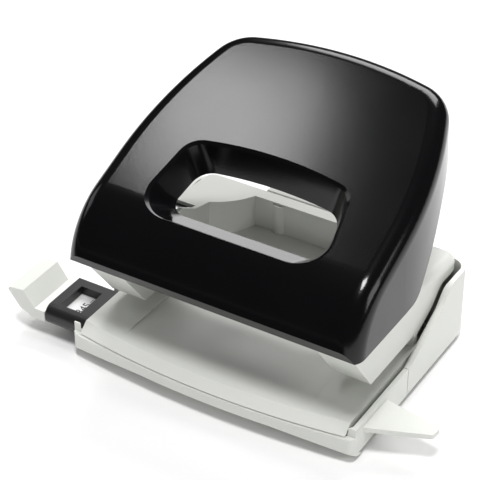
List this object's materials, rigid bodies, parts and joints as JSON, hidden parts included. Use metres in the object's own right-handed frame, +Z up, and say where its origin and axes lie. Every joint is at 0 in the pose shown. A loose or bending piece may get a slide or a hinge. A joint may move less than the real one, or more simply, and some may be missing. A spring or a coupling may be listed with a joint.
{
  "type": "hole punch",
  "caption": "Desk hole punch with a wide sprung handle, finger window, sliding paper guide with scale window and a drop-down chip tray.",
  "frame": {"origin": "middle of the object's footprint, on the desk", "axes": "+X from the paper guide's stop towards the tray's tongue, along the line through both punches; +Y from the table towards the back; +Z up"},
  "size_m": [0.1504, 0.0914, 0.0875],
  "materials": {
    "handle_plastic": "fine grain, satin",
    "black_plastic": "satin",
    "housing_plastic": "fine satin moulding",
    "tray_plastic": "soft satin moulding",
    "label": "printed strip",
    "rubber": "matt",
    "zinc_steel": "zinc plated sheet",
    "bright_steel": "ground",
    "spring_steel": "drawn wire",
    "screw_steel": "zinc plated"
  },
  "bodies": {
    "base": {"upper_housing": "housing_plastic", "base_skirt": "housing_plastic", "punch_frame_left": "zinc_steel", "punch_frame_right": "zinc_steel", "die_ring_left": "bright_steel", "die_ring_right": "bright_steel", "hinge_pin_left": "bright_steel", "hinge_pin_right": "bright_steel", "frame_screws": "screw_steel", "base_screws": "screw_steel", "rear_feet": "rubber", "tray_hinge_pins": "bright_steel", "scale_window_frame": "black_plastic", "rail_channel_cover": "zinc_steel", "channel_screws": "screw_steel", "punch_spring_left": "spring_steel", "punch_spring_right": "spring_steel"},
    "handle": {"handle_cover": "handle_plastic", "lever_left": "zinc_steel", "lever_right": "zinc_steel", "lever_cross_bar": "bright_steel", "lever_screws": "screw_steel"},
    "punch_unit_left": {"punch_left": "bright_steel", "punch_clip_left": "spring_steel"},
    "punch_unit_right": {"punch_right": "bright_steel", "punch_clip_right": "spring_steel"},
    "rail": {"guide_rail": "housing_plastic", "scale_label": "label"},
    "tray": {"chip_tray": "tray_plastic", "tray_feet": "rubber"}
  },
  "joints": [
    {"name": "handle_press", "type": "hinge", "parent": "base", "child": "handle", "pos_m": [0.00382, -0.02582, 0.03], "axis": [-1, 0, 0], "range_deg": [0, 17], "stiffness_Nm_per_rad": 1.6, "springref_deg": -6.88},
    {"name": "punch_left_slide", "type": "slide", "parent": "base", "child": "punch_unit_left", "axis": [0, 0, -1], "range_m": [0, 0.0063], "deforming": ["punch_spring_left"]},
    {"name": "punch_right_slide", "type": "slide", "parent": "base", "child": "punch_unit_right", "axis": [0, 0, -1], "range_m": [0, 0.0063], "deforming": ["punch_spring_right"]},
    {"name": "rail_slide", "type": "slide", "parent": "base", "child": "rail", "axis": [-1, 0, 0], "range_m": [0, 0.08]},
    {"name": "tray_open", "type": "hinge", "parent": "base", "child": "tray", "pos_m": [0.00382, 0.01668, 0.0042], "axis": [1, 0, 0], "range_deg": [0, 45]}
  ],
  "couplings": [
    {"joint": "punch_left_slide", "follows": "handle_press", "m_per_rad": 0.02056},
    {"joint": "punch_right_slide", "follows": "handle_press", "m_per_rad": 0.02056}
  ]
}
